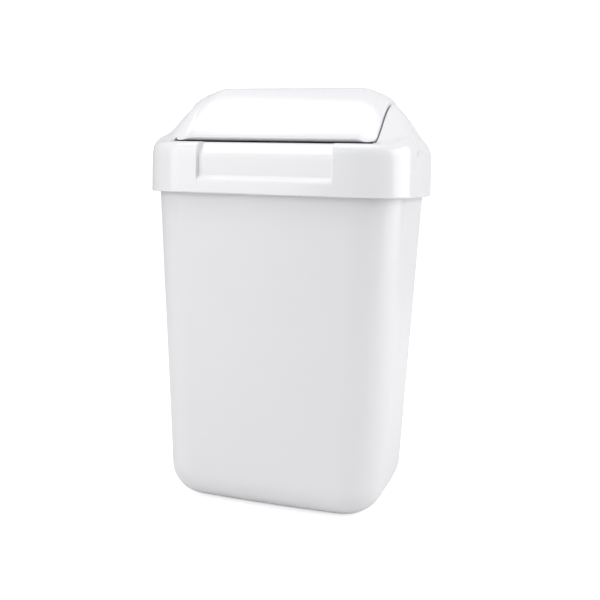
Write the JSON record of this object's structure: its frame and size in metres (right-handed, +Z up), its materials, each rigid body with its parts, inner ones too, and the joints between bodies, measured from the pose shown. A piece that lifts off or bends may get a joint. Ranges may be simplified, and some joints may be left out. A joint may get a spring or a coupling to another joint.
{
  "type": "swing lid waste bin",
  "caption": "Free-standing rounded plastic waste bin with a lift-off lid collar and a swinging domed flap",
  "frame": {"origin": "middle of the base, on the floor", "axes": "+Z up, the side with the label recess faces -Y, +X is to the right of someone facing the recess"},
  "size_m": [0.372, 0.262, 0.58],
  "materials": {
    "tub_plastic": "satin",
    "lid_plastic": "gloss"
  },
  "bodies": {
    "tub": {"tub": "tub_plastic"},
    "lid": {"lid_collar": "lid_plastic"},
    "flap": {"swing_flap": "lid_plastic"}
  },
  "joints": [
    {"name": "lid_lift", "type": "slide", "parent": "tub", "child": "lid", "axis": [0, 0, 1], "range_m": [0, 0.15]},
    {"name": "flap_swing", "type": "hinge", "parent": "lid", "child": "flap", "pos_m": [0, 0, 0.544], "axis": [1, 0, 0], "range_deg": [-75, 75]}
  ]
}
